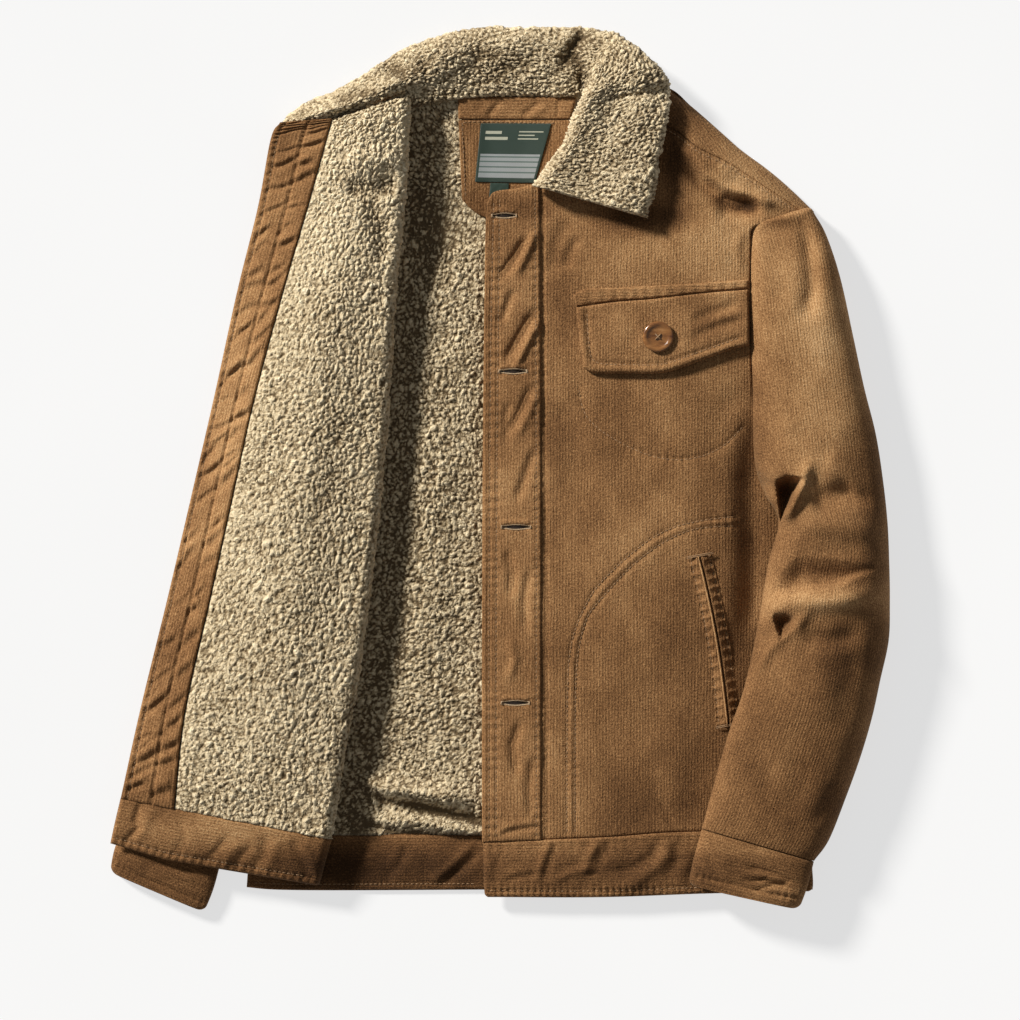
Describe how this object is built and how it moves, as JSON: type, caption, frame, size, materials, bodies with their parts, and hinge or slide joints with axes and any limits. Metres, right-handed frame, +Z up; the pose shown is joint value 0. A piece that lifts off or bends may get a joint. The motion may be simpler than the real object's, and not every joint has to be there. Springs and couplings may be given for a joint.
{
  "type": "corduroy jacket",
  "caption": "Corduroy jacket with a pile collar and lining, laid flat and half open: one front closed with a flap pocket, the other folded back to show its lining.",
  "frame": {"origin": "on the resting surface, under the middle of the garment's bounding box", "axes": "+Y along the back towards the collar, +X towards the wearer's left, +Z up from the surface, out of the front"},
  "size_m": [0.662, 0.7524, 0.0532],
  "materials": {
    "corduroy": "fine brown corduroy with a soft nap",
    "pile": "curly beige pile",
    "woven_label": "dark green woven tape",
    "horn_button": "polished brown"
  },
  "bodies": {
    "root": {"back_shell": "corduroy", "back_lining": "pile", "back_hem_band": "corduroy", "left_front": "corduroy", "left_shoulder_yoke": "corduroy", "left_placket": "corduroy", "left_hem_band": "corduroy", "chest_pocket_welt": "corduroy", "chest_pocket_flap": "corduroy", "chest_pocket_button": "horn_button", "side_pocket_lip_front": "corduroy", "side_pocket_lip_back": "corduroy", "left_sleeve": "corduroy", "left_cuff": "corduroy", "right_sleeve": "corduroy", "right_cuff": "corduroy", "right_lining": "pile", "right_front": "corduroy", "right_facing": "corduroy", "right_hem_band": "corduroy", "front_button_1": "horn_button", "front_button_2": "horn_button", "front_button_3": "horn_button", "front_button_4": "horn_button", "collar": "pile", "neck_band": "corduroy", "neck_patch": "corduroy", "label": "woven_label", "loop_tab": "woven_label"}
  },
  "joints": []
}
